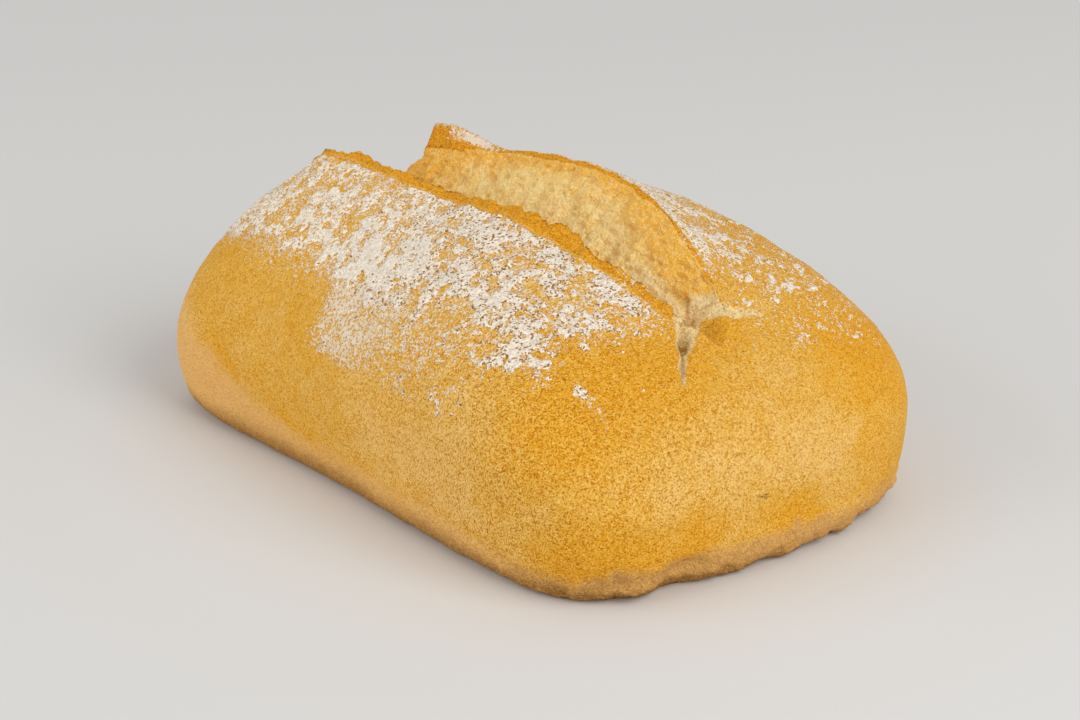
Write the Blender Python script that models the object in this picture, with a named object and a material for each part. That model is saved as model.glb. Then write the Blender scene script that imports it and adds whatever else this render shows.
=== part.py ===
"""A ciabatta roll, baked in one piece: flat foot, uneven dome, one lengthwise score torn open.

The solid is a row of closed cross-sections along the roll, skinned from end to end. Each section
runs up the near crust to the score's low lip, down and across the crumb in the score, up to the
raised lip, down the far crust and back under the foot. Metres, +Z up. +X runs along the roll to
the front end, where the score closes; -Y is the near side, below the low lip.
"""

from collections import namedtuple

import bmesh
import bpy
import numpy as np

# Size of the whole roll
LENGTH = 0.150
WIDTH = 0.1059
DOME_HEIGHT = 0.0548
BELT_HEIGHT = 0.0168  # of the widest line round the roll
FOOT_INSET = 0.0069  # how far the side turns in from the belt down to the flat foot
FOOT_POWER = 2.6
END_DRIFT_FRONT = -0.0012  # the two ends sit a little towards the near side
END_DRIFT_BACK = -0.0052

# How square each quarter is, as superellipse powers, where 2 is an ellipse and more is squarer:
# of the outline seen from above, of the top line along the roll, and of the cross-section.
Quarter = namedtuple("Quarter", "outline crown section")
NEAR_FRONT = Quarter(outline=5.1, crown=1.87, section=2.8)
NEAR_BACK = Quarter(outline=6.6, crown=4.8, section=1.94)
FAR_FRONT = Quarter(outline=4.3, crown=1.87, section=2.95)
FAR_BACK = Quarter(outline=2.9, crown=2.33, section=2.0)
RIDGE_NEAR = 0.021  # the near and the far dome blend between these distances from the middle
RIDGE_FAR = 0.015
NARROWEST_RIDGE = 0.45

# The score: its middle line, its two lips and its ends
SCORE_OFFSET = -0.0035
SCORE_SLANT = 0.0044
LOW_LIP_REACH = 0.0084
RAISED_LIP_REACH = 0.0143
SCORE_BACK = -0.080
SCORE_FRONT = 0.055
SCORE_PINCH = 2.6
OPEN_AT_BACK = 0.6  # the score runs off the back end still open to this share of its width
SEAM_HALF_WIDTH = 0.001
SCORE_DEPTH = 0.008

# The crust beside the score, lifted over the dome
LOW_LIP_RISE_FRONT = 0.0018
LOW_LIP_RISE_BACK = 0.0054
LOW_LIP_FALLOFF = 0.0071
TORN_EDGE_RISE = 0.0016  # the torn edge inside the low lip stands above it
TORN_EDGE_WIDTH = 0.0038
RAISED_LIP_RISE_FRONT = 0.0078
RAISED_LIP_RISE_BACK = 0.0037
RAISED_LIP_FALLOFF = 0.0115
HORN_X = -0.0478  # where the raised crust breaks off
HORN_RISE = 0.0072
HORN_LENGTH = 0.022
HORN_CLIFF = 0.005
HORN_SPREAD = 0.9  # how much longer that end's slope gets with distance from the lip
WALL_CURL = 1.7  # power of the climb from the low lip to the raised one: higher is later
WALL_CURL_AT_HORN = 6.5
CURL_LENGTH = 0.030
CURL_END = 0.012

# Points round a section, in order, and the sections along the roll
NEAR_POINTS = 18
SCORE_POINTS = 12
FAR_POINTS = 18
SIDE_POINTS = 5
FOOT_POINTS = 6
STATIONS = 68
LAST_STATION = 0.9993  # of the half length; a strip down each end closes what is left
CREASE_ANGLE = np.radians(35)

CRUST_COLOUR = (0.72, 0.42, 0.13, 1.0)


def ease(start, end, x):
    """0 up to start, 1 from end on, and smooth between them."""
    share = np.clip((x - start) / (end - start), 0, 1)
    return share * share * (3 - 2 * share)


def arch(t, power):
    """Height at t of a superellipse that is 1 high and spans -1 to 1."""
    return (1 - np.abs(t) ** power) ** (1 / power)


def stations():
    """Places along the roll from -1 to 1, even along the outline and closer at the horn."""
    t = np.sin(np.linspace(-np.pi / 2, np.pi / 2, 4001))
    outline = WIDTH / 2 * arch(t, FAR_FRONT.outline)
    steps = np.hypot(np.diff(LENGTH / 2 * t), np.diff(outline))
    middles = LENGTH / 4 * (t[1:] + t[:-1])
    steps = steps * (1 + 1.5 * np.exp(-(((middles - HORN_X) / (1.5 * HORN_CLIFF)) ** 2)))
    run = np.concatenate([[0], np.cumsum(steps)])
    return LAST_STATION * np.interp(np.linspace(0, run[-1], STATIONS), run, t)


def side(t, back, front):
    """Outline, half-width, crown and section power of one long side of the roll at t."""
    outline = arch(t, np.where(t < 0, back.outline, front.outline))
    crown = (DOME_HEIGHT - BELT_HEIGHT) * arch(t, np.where(t < 0, back.crown, front.crown))
    power = back.section + (front.section - back.section) * ease(-0.6, 0.6, t)
    return outline, WIDTH / 2 * outline, crown, power


class Sections:
    """The roll's cross-sections at a column of stations t; heights count from the belt."""

    def __init__(self, t):
        self.t = t[:, None]
        self.x = LENGTH / 2 * self.t
        self.near_outline, self.near_width, self.near_crown, self.near_power = side(
            self.t, NEAR_BACK, NEAR_FRONT
        )
        self.far_outline, self.far_width, self.far_crown, self.far_power = side(
            self.t, FAR_BACK, FAR_FRONT
        )
        self.room = np.minimum(self.near_outline, self.far_outline)
        self.set_lips()

    def dome(self, y):
        """Height of the unscored dome at y, from 0 at either edge."""
        near = y < 0
        width = np.where(near, self.near_width, self.far_width)
        power = np.where(near, self.near_power, self.far_power)
        blend = ease(-RIDGE_NEAR, RIDGE_FAR, y / np.maximum(self.room, NARROWEST_RIDGE))
        crown = self.near_crown * (1 - blend) + self.far_crown * blend
        return crown * np.clip(1 - (np.abs(y) / width) ** power, 0, 1) ** (1 / power)

    def set_lips(self):
        """Where the score's two lips run, and how far each is lifted over the dome."""
        x = self.x
        share = np.clip((x - SCORE_BACK) / (SCORE_FRONT - SCORE_BACK), 0, 1)
        opening = np.sqrt(np.clip(1 - np.abs(2 * share - 1) ** SCORE_PINCH, 0, 1))
        opening = np.where(share < 0.5, np.maximum(opening, OPEN_AT_BACK), opening)
        middle = SCORE_OFFSET + SCORE_SLANT * self.t
        squeeze = np.minimum(1, 1.3 * self.room)
        self.low_y = (middle - LOW_LIP_REACH * opening - SEAM_HALF_WIDTH) * squeeze
        self.raised_y = (middle + RAISED_LIP_REACH * opening + SEAM_HALF_WIDTH) * squeeze

        backward = 1 - ease(-0.058, -0.015, x)
        rise = LOW_LIP_RISE_FRONT + (LOW_LIP_RISE_BACK - LOW_LIP_RISE_FRONT) * backward
        fade = 1 - ease(SCORE_FRONT - 0.026, SCORE_FRONT + 0.003, x)
        self.low_rise = rise * fade * ease(-0.071, -0.053, x)
        self.torn_rise = TORN_EDGE_RISE * fade * ease(-0.071, -0.058, x)

        backward = 1 - ease(-0.048, -0.010, x)
        rise = RAISED_LIP_RISE_FRONT + (RAISED_LIP_RISE_BACK - RAISED_LIP_RISE_FRONT) * backward
        rise = rise + HORN_RISE * (1 - ease(HORN_X + 0.001, HORN_X + 0.001 + HORN_LENGTH, x))
        self.raised_rise = rise * (1 - ease(SCORE_FRONT - 0.038, SCORE_FRONT + 0.003, x))

    def behind_horn(self, length):
        """0 behind the horn's end and 1 along the horn, climbing over this length."""
        return np.clip((self.x - HORN_X + length) / length, 0, 1) ** 1.4

    def crust(self, share, width, power, lip_y):
        """Distances from the middle line, from the edge at share 0 to the lip at share 1."""
        angle = np.arccos(np.clip(np.abs(lip_y) / width, 0, 1) ** (power / 2))
        return width * np.cos(angle * share) ** (2 / power)

    def near_crust(self, share):
        y = -self.crust(share, self.near_width, self.near_power, np.minimum(self.low_y, -1e-9))
        lift = self.low_rise * np.exp((y - self.low_y) / LOW_LIP_FALLOFF)
        return self.x, y, self.dome(y) + lift * ease(0, 0.5, share)

    def score(self, share):
        y = self.low_y + (self.raised_y - self.low_y) * share
        low = self.dome(self.low_y) + self.low_rise
        raised = self.dome(self.raised_y) + self.raised_rise * self.behind_horn(HORN_CLIFF)
        at_horn = 1 - ease(HORN_X, HORN_X + CURL_LENGTH, self.x)
        at_horn = at_horn * ease(HORN_X - CURL_END, HORN_X, self.x)
        curl = WALL_CURL + (WALL_CURL_AT_HORN - WALL_CURL) * at_horn
        dip = SCORE_DEPTH * np.sin(np.pi * share**0.6) ** 1.3 * np.minimum(1, 1.2 * self.room)
        torn = np.clip((y - self.low_y) / TORN_EDGE_WIDTH, 0, 1)
        torn = self.torn_rise * np.sin(np.pi * torn**0.7)
        opened = low + (raised - low) * share**curl - dip + torn
        closed = ease(SCORE_FRONT - 0.014, SCORE_FRONT + 0.002, self.x)
        return self.x, y, opened + (self.dome(y) - opened) * closed

    def far_crust(self, share):
        y = self.crust(1 - share, self.far_width, self.far_power, np.maximum(self.raised_y, 1e-9))
        reach = y - self.raised_y
        lift = self.raised_rise * np.exp(-reach / RAISED_LIP_FALLOFF)
        lift = lift * self.behind_horn(HORN_CLIFF + HORN_SPREAD * reach)
        return self.x, y, self.dome(y) + lift * ease(0, 0.4, 1 - share)

    def foot(self, share, direction):
        """The side below the belt, from the belt at share 0 to the flat foot at share 1."""
        outline = self.near_outline if direction < 0 else self.far_outline
        inset = FOOT_INSET * (1 - np.cos(share * np.pi / 2) ** (2 / FOOT_POWER))
        drop = -BELT_HEIGHT * np.sin(share * np.pi / 2) ** (2 / FOOT_POWER)
        return (LENGTH / 2 - inset) * self.t, direction * (WIDTH / 2 - inset) * outline, drop

    def underside(self, share):
        """The flat foot, from its far edge to its near edge."""
        x, far_y, z = self.foot(np.ones(1), 1)
        near_y = self.foot(np.ones(1), -1)[1]
        return x, far_y + (near_y - far_y) * share, z

    def rings(self):
        """Points of every section, as stations by points by three; the lowest are at height 0."""
        zones = [
            self.near_crust(shares(NEAR_POINTS)),
            self.score(shares(SCORE_POINTS)),
            self.far_crust(shares(FAR_POINTS)),
            self.foot(shares(SIDE_POINTS), 1),
            self.underside(shares(FOOT_POINTS)),
            self.foot(1 - shares(SIDE_POINTS), -1),
        ]
        points = [np.stack(np.broadcast_arrays(*zone), axis=-1) for zone in zones]
        points = np.concatenate(points, axis=1)
        drift = np.where(self.t < 0, END_DRIFT_BACK, END_DRIFT_FRONT) * self.t**2
        points[:, :, 1] += drift
        points[:, :, 2] += BELT_HEIGHT
        middle = (points.min(axis=(0, 1)) + points.max(axis=(0, 1))) / 2
        points[:, :, :2] -= middle[:2]
        return points


def shares(count):
    """count even steps from 0, leaving out 1, where the next zone starts."""
    return np.arange(count)[None] / count


def skin(name, rings):
    """One closed mesh through the rings, with a strip over each end from its top to its foot."""
    mesh = bpy.data.meshes.new(name)
    model = bmesh.new()
    loops = [[model.verts.new(point) for point in ring] for ring in rings]
    around = len(loops[0])
    for first, second in zip(loops, loops[1:]):
        for i in range(around):
            j = (i + 1) % around
            model.faces.new((first[i], first[j], second[j], second[i]))
    top = NEAR_POINTS + SCORE_POINTS // 2
    for loop in (loops[0], loops[-1]):
        for i in range(around // 2):
            corners = [top - i, top - i - 1, top + i + 1, top + i]
            corners = [loop[corner % around] for corner in corners]
            model.faces.new(list(dict.fromkeys(corners)))
    bmesh.ops.recalc_face_normals(model, faces=model.faces)
    model.to_mesh(mesh)
    model.free()
    mesh.shade_smooth()
    mesh.set_sharp_from_angle(angle=CREASE_ANGLE)
    return mesh


def crust_material():
    material = bpy.data.materials.new("baked_crust")
    material.use_nodes = True
    surface = material.node_tree.nodes["Principled BSDF"]
    surface.inputs["Base Color"].default_value = CRUST_COLOUR
    surface.inputs["Roughness"].default_value = 0.8
    surface.inputs["Metallic"].default_value = 0.0
    return material


def main():
    for thing in list(bpy.data.objects):
        bpy.data.objects.remove(thing, do_unlink=True)
    mesh = skin("loaf", Sections(stations()).rings())
    mesh.materials.append(crust_material())
    loaf = bpy.data.objects.new("loaf", mesh)
    bpy.context.scene.collection.objects.link(loaf)


main()
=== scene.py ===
"""The looks of a ciabatta roll: browned crust, torn score with open crumb, and flour dusted on top.

Every surface is worked out from the roll's own form: closed cross-sections along +X, each running
up the near crust to the score's low lip, across the crumb to the raised lip, down the far crust
and back under the foot. Metres, +Z up; -Y is the near side and +X the end where the score closes.
"""

import itertools
from collections import namedtuple

import bpy
import numpy as np
from bpy.props import FloatProperty, FloatVectorProperty, IntProperty, PointerProperty
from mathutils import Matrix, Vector


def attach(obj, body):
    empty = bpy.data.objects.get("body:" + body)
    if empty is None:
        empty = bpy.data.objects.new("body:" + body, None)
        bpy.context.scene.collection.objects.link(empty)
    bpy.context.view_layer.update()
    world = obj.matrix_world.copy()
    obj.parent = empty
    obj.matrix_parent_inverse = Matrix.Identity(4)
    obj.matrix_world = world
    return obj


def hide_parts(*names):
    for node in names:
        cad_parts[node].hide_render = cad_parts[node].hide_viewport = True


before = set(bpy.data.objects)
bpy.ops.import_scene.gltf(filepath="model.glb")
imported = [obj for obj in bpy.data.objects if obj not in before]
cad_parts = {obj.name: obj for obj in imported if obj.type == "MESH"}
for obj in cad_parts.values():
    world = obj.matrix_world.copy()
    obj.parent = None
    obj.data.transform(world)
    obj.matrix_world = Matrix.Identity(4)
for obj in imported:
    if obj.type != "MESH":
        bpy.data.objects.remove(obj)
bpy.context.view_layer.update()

bl_info = {
    "name": "Ciabatta roll",
    "version": (1, 0, 0),
    "blender": (4, 5, 0),
    "location": "3D View > Sidebar > Ciabatta",
    "description": "Builds a ciabatta roll with a torn score, open crumb and dusted flour",
    "category": "Add Mesh",
}

# How square each quarter of the roll is, as superellipse powers, where 2 is an ellipse: of the
# outline seen from above, of the top line along the roll, and of the cross-section.
Quarter = namedtuple("Quarter", "outline crown section")
NEAR_FRONT = Quarter(outline=5.1, crown=1.87, section=2.8)
NEAR_BACK = Quarter(outline=6.6, crown=4.8, section=1.94)
FAR_FRONT = Quarter(outline=4.3, crown=1.87, section=2.95)
FAR_BACK = Quarter(outline=2.9, crown=2.33, section=2.0)
RIDGE_NEAR = 0.021  # the near and the far dome blend between these distances from the middle
RIDGE_FAR = 0.015
NARROWEST_RIDGE = 0.45  # the blend narrows with the roll down to this share
FOOT_POWER = 2.6
END_DRIFT_FRONT = -0.0012  # the two ends sit a little towards the near side
END_DRIFT_BACK = -0.0052
FORM_SHIFT = 0.00088  # puts the middle of the roll's box over the origin

# Places along the roll, and the corners in plan of the crack beyond the score and of the tear
# across its start
OPENING_BACK = -0.080  # the lips part from here on, over this length
OPENING_LENGTH = 0.135
SCORE_BACK = (-0.0740, -0.0702)  # the score opens up between these
SCORE_FRONT = (0.041, 0.057)  # and closes between these
HORN_END = -0.0478  # where the horn of the raised lip breaks off
HORN_FULL = -0.0469  # the horn has its whole height from here on
CRACK = ((0.0455, 0.0005), (0.0520, -0.0064), (0.0620, -0.0157))
CROSS_TEAR = ((0.0443, 0.0050), (0.0492, 0.0078), (0.0508, 0.0146))

# Points round a section, zone by zone, and the sections along the roll
NEAR_POINTS = 117
SCORE_POINTS = 42
FAR_POINTS = 80
SIDE_POINTS = 24
FOOT_POINTS = 23
STATIONS = 320

# The points over the belt; those of the score; and those of the foot between its two edges
TOP_POINTS = NEAR_POINTS + SCORE_POINTS + FAR_POINTS
SCORE_PART = slice(NEAR_POINTS, NEAR_POINTS + SCORE_POINTS)
UNDER_PART = slice(TOP_POINTS + SIDE_POINTS + 1, TOP_POINTS + SIDE_POINTS + FOOT_POINTS)

# Sheets of crumb and of flour: the stretch of the roll they take and how many stations, the share
# of their zone of the sections and how many points, and how crowded these are from end to end
Sheet = namedtuple("Sheet", "x stations share points crowded")
CRUMB_SHEET = Sheet((-0.0722, 0.0530), 640, (0.03, 0.987), 122, (1.0, 0.8, 0.8, 1.2, 2.4))
NEAR_SHEET = Sheet((-0.0735, 0.0590), 384, (0.17, 0.999), 130, (1.0, 1.2, 1.4, 2.4))
FAR_SHEET = Sheet((-0.0700, 0.0640), 190, (0.002, 0.702), 72, (3.0, 1.3, 1.0, 1.0))

# Flour on each side of the score: size of its clumps, and share and seed of the loose grains
Dust = namedtuple("Dust", "zone sheet clump grains seed")
FLOURED = (
    Dust("near_crust", NEAR_SHEET, 0.0027, 0.75, 5),
    Dust("far_crust", FAR_SHEET, 0.0024, 0.25, 6),
)

# How deep the crust lies under the crumb where that shows, and the crumb under the crust elsewhere
CRUST_SUNK = 0.0014
CRUMB_SUNK = 0.0013

# The floors that close these sheets
CRUMB_FLOOR_POINTS = 14
CRUMB_DEPTH = 0.0022
FLOUR_FLOOR_POINTS = 8
FLOUR_DEPTH = 0.0008
END_ROOM = 3.5  # rows of a bake map beyond each end of the rings, for the faces that close them

# Colours of details that no setting holds
SCORCHED = (0.40, 0.14, 0.004)  # flecks on the torn edges
DARK_GRAIN = (0.56, 0.38, 0.14)  # multiplies the crust
LIGHT_GRAIN = (1.0, 0.72, 0.20)
CHARRED = (0.12, 0.05, 0.01)  # rare specks on the crust
HOLE_SHADE = (0.26, 0.14, 0.02)  # painted shade of small holes in the crumb
LIGHT_CRUMB = (1.0, 0.86, 0.48)
GAP_SHADE = (0.30, 0.13, 0.015)  # painted shade on the crust between clumps of flour
DULL = 0.12  # specular level of crust and crumb

# Stage: the camera looks at this point from these angles, in degrees, from -Y and from the floor
LOOKED_AT = (0.00043, -0.00179, 0.02037)
AZIMUTH = 50.85
ELEVATION = 23.51
MIDDLE = (0, 0, 0.03)  # what both lights point at
KEY_PLACE = (0.98, 0.15, 0.78)
FILL_PLACE = (-0.4, -1.1, 0.45)
FLOOR_SIZE = 12.0

Side = namedtuple("Side", "outline width crown power")  # of one long side, at every station
Layer = namedtuple("Layer", "top thick under out cover")  # a sheet of flour on the crust


def metres(default, description):
    """A length that can be set."""
    return FloatProperty(
        description=description, default=default, min=0.0, precision=5, unit="LENGTH"
    )


def rgb(default, description):
    """A colour that can be set."""
    return FloatVectorProperty(
        description=description, default=default, size=3, min=0, max=1, subtype="COLOR"
    )


def number(default, description):
    """A plain number that can be set."""
    return FloatProperty(description=description, default=default, min=0.0)


class RollForm(bpy.types.PropertyGroup):
    """Sizes of the whole roll and of its score."""

    length: metres(0.150, "Length of the roll")
    width: metres(0.1059, "Width of the roll at its widest line")
    dome_height: metres(0.0548, "Height of the dome without its lips")
    belt_height: metres(0.0168, "Height of the widest line round it")
    foot_inset: metres(0.0069, "How far the side turns in to the foot")
    low_lip_reach: metres(0.0084, "From the score's middle to its low lip")
    raised_lip_reach: metres(0.0143, "From the score's middle to its raised lip")
    score_depth: metres(0.008, "Depth of the hollow in the score")
    torn_width: metres(0.0045, "Width of the torn edge of the low lip")
    torn_rise: metres(0.0019, "Height of that edge over the lip")
    horn_rise: metres(0.0072, "Height of the horn over the raised lip")
    lip_waver: metres(0.0006, "How far the lips stray from an even line")


class CrustFinish(bpy.types.PropertyGroup):
    """Relief and colours of the crust."""

    lumps: metres(0.0009, "Height of the wide swellings of the crust")
    wrinkles: metres(0.00022, "Height of the small wrinkles of the crust")
    rim_roughness: metres(0.0011, "Height of the lumps round the foot")
    crack_depth: metres(0.0027, "Depth of the crack beyond the score")
    golden: rgb((0.82, 0.43, 0.052), "Colour of most of the crust")
    browned: rgb((0.83, 0.375, 0.012), "Colour where the crust baked deepest")
    pale: rgb((0.90, 0.55, 0.17), "Colour where the crust baked least")
    torn: rgb((0.84, 0.35, 0.003), "Colour of the torn edges of the crust")
    rim: rgb((0.89, 0.50, 0.165), "Colour of the floury rim round the foot")
    # foot: painted shade, which the shade mark mixes over the lowest rim and the underside
    foot: rgb((0.42, 0.20, 0.050), "Colour of the underside")
    # Painted shade deep in the crack's groove
    crack_shade_colour: rgb((0.32, 0.14, 0.018), "Colour deep in the crack and in the pits")


class CrumbFinish(bpy.types.PropertyGroup):
    """Relief and colours of the crumb in the score."""

    pore_size: metres(0.0034, "Distance between the larger pores")
    pore_depth: metres(0.0007, "Depth of the larger pores")
    swell: metres(0.0008, "Height of the soft swellings between them")
    cream: rgb((1.0, 0.75, 0.30), "Colour of most of the crumb")
    toasted: rgb((0.94, 0.47, 0.030), "Colour of the crumb near the lips")
    shade: rgb((0.72, 0.42, 0.10), "Colour inside the pores")
    ashen: rgb((0.92, 0.67, 0.30), "Colour of the crumb's duller patches")


class FlourFinish(bpy.types.PropertyGroup):
    """Thickness, spread and colour of the dusted flour."""

    thickness: metres(0.0003, "Thickness of the flour where it lies thick")
    cover: number(1.0, "How much of the dusted parts the flour hides")
    grains: IntProperty(description="Number of loose grains of flour", default=14000, min=0)
    grain_size: metres(0.00038, "Width of a usual loose grain")
    white: rgb((0.90, 0.79, 0.65), "Colour of the flour")


class StageSet(bpy.types.PropertyGroup):
    """Floor, light and camera."""

    floor: rgb((0.78, 0.77, 0.75), "Colour of the floor")
    key: number(8.2, "Power of the key light in watts")
    fill: number(5.1, "Power of the fill light in watts")
    sky: number(0.5, "Strength of the even light")
    lens: number(100.0, "Focal length in millimetres")
    distance: metres(0.652, "From the camera to the point it looks at")


# ---------------------------------------------------------------- curves and random heights


def ease(start, end, x):
    """0 up to start, 1 from end on, and 3s^2 - 2s^3 between, s being the share of the way."""
    share = np.clip((x - start) / (end - start), 0, 1)
    return share * share * (3 - 2 * share)


def fall(start, end, x):
    """1 up to start and 0 from end on: the rest of ease."""
    return 1 - ease(start, end, x)


def arch(t, power):
    """Height (1 - |t|^p)^(1/p) of a superellipse that is 1 high and spans -1 to 1."""
    return np.clip(1 - np.abs(t) ** power, 0, 1) ** (1 / power)


def bell(x, middle, width):
    """exp(-((x - middle) / width)^2): 1 at the middle, fading out over the width."""
    return np.exp(-(((x - middle) / width) ** 2))


def scatter(cells, seed):
    """A random number from -1 to 1 for each whole-number cell, the same each time."""
    mixed = cells[..., 0] * 73856093 ^ cells[..., 1] * 19349663 ^ cells[..., 2] * 83492791
    mixed = (mixed ^ (seed * 2654435761)) & 0xFFFFFFFF
    mixed = ((mixed >> 15 ^ mixed) * 0x2C1B3C6D) & 0xFFFFFFFF
    mixed = ((mixed >> 12 ^ mixed) * 0x297A2D39) & 0xFFFFFFFF
    return (mixed >> 15 ^ mixed) / 2**31 - 1


def noise(points, size, seed):
    """Smooth random heights: random numbers at the corners of a lattice of this size, blended
    between the corners with 6f^5 - 15f^4 + 10f^3. Each seed turns the lattice its own way."""
    turn = np.linalg.qr(np.random.default_rng(seed).normal(size=(3, 3)))[0]
    places = points @ turn / size + 0.37 * seed
    cell = np.floor(places).astype(np.int64)
    part = places - cell
    part = part**3 * (part * (part * 6 - 15) + 10)
    total = 0
    for corner in itertools.product((0, 1), repeat=3):
        weight = np.prod(np.where(corner, part, 1 - part), axis=-1)
        total = total + weight * scatter(cell + corner, seed)
    return total


def waves(points, seed, *layers):
    """The sum of layers of noise, each given as its height and size; each has the next seed."""
    return sum(height * noise(points, size, seed + i) for i, (height, size) in enumerate(layers))


def rough(points, size, seed, layers=3, fade=0.55):
    """Noise at size, size/2, size/4 and so on, each layer lower than the last."""
    heights = [fade**i for i in range(layers)]
    sizes = [size / 2**i for i in range(layers)]
    return waves(points, seed, *zip(heights, sizes)) / sum(heights) * 1.5


def along(x, seed, *layers):
    """Waves along one line."""
    return waves(np.stack([x, 0 * x, 0 * x], axis=-1), seed, *layers)


def spots(places, rows):
    """The sum of amount * exp(-(d / radius)^2), d being the distance from a row's place; each row
    is a place, a radius and an amount."""
    total = 0
    for *middle, radius, amount in rows:
        away = ((places - middle) ** 2).sum(axis=-1)
        total = total + amount * np.exp(-away / radius**2)
    return total


def unit(vectors):
    """The vectors, each with length 1."""
    return vectors / np.maximum(np.linalg.norm(vectors, axis=-1, keepdims=True), 1e-12)


def pits(places, size, seed):
    """Depth 0 to 1 of round pits: each square cell of this size has one, at a random place with a
    random radius r, and depth 1 - (d / r)^2 at distance d; the deepest one counts."""
    places = places / size
    cell = np.floor(places).astype(np.int64)
    deepest = 0
    for step in itertools.product((-1, 0, 1), repeat=2):
        home = np.concatenate([cell + step, np.zeros_like(cell[..., :1])], axis=-1)
        centre = np.stack([scatter(home, seed), scatter(home, seed + 1)], axis=-1)
        centre = home[..., :2] + 0.5 + 0.34 * centre
        radius = 0.34 + 0.2 * scatter(home, seed + 2)
        away = ((places - centre) ** 2).sum(axis=-1) / radius**2
        strength = 0.55 + 0.45 * scatter(home, seed + 3)
        deepest = np.maximum(deepest, np.clip(1 - away, 0, 1) * strength)
    return deepest


# ---------------------------------------------------------------- form of the roll


def edge_to_lip(share, width, power, lip_y):
    """Distances w * cos(a * s)^(2/p) from the middle line, from the edge at share s = 0 to the lip
    at share 1."""
    angle = np.arccos(np.clip(np.abs(lip_y) / width, 0, 1) ** (power / 2))
    return width * np.cos(angle * share) ** (2 / power)


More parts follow.
